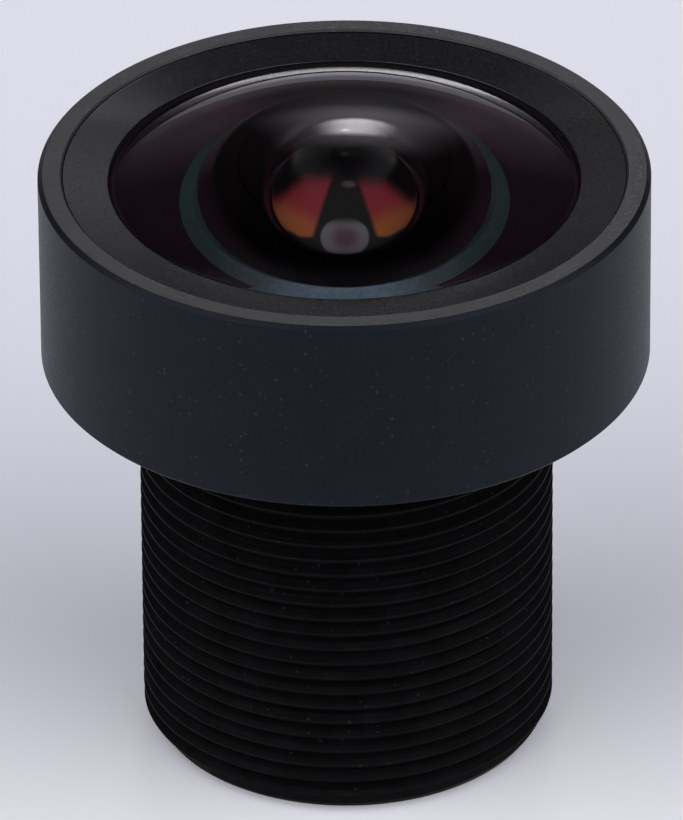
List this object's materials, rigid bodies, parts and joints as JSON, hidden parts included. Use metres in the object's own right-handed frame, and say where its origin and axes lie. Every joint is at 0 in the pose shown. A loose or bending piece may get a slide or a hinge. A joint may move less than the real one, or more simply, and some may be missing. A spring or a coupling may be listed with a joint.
{
  "type": "s-mount lens",
  "caption": "Wide-angle board-camera lens: a round head with a domed front glass on a fine-threaded tail, with its glass, spacers and stop inside.",
  "frame": {"origin": "centre of the rear end face, on the optical axis", "axes": "+Z along the optical axis towards the front glass; +X and +Y are square to it, +X along the rear ring's spanner slot"},
  "size_m": [0.0176, 0.0176, 0.0196],
  "materials": {
    "barrel": "black anodised, bead-blasted",
    "ring": "black anodised, matte",
    "spacer": "black anodised, matte",
    "seal": "black rubber",
    "film": "matte black film",
    "glass_front": "polished, coated",
    "glass_inner": "polished, coated",
    "filter": "polished, coated"
  },
  "bodies": {
    "root": {"lens_barrel": "barrel", "front_retaining_ring": "ring", "front_seal_ring": "seal", "front_element": "glass_front", "front_baffle": "film", "second_element": "glass_inner", "front_spacer": "spacer", "third_element": "glass_inner", "front_stop_spacer": "spacer", "aperture_stop": "film", "rear_stop_spacer": "spacer", "fourth_element": "glass_inner", "middle_spacer": "spacer", "middle_baffle": "film", "crown_element": "glass_inner", "flint_element": "glass_inner", "rear_spacer": "spacer", "rear_baffle": "film", "rear_element": "glass_inner", "ir_cut_filter": "filter", "filter_gasket": "seal", "rear_retaining_ring": "ring"}
  },
  "joints": []
}
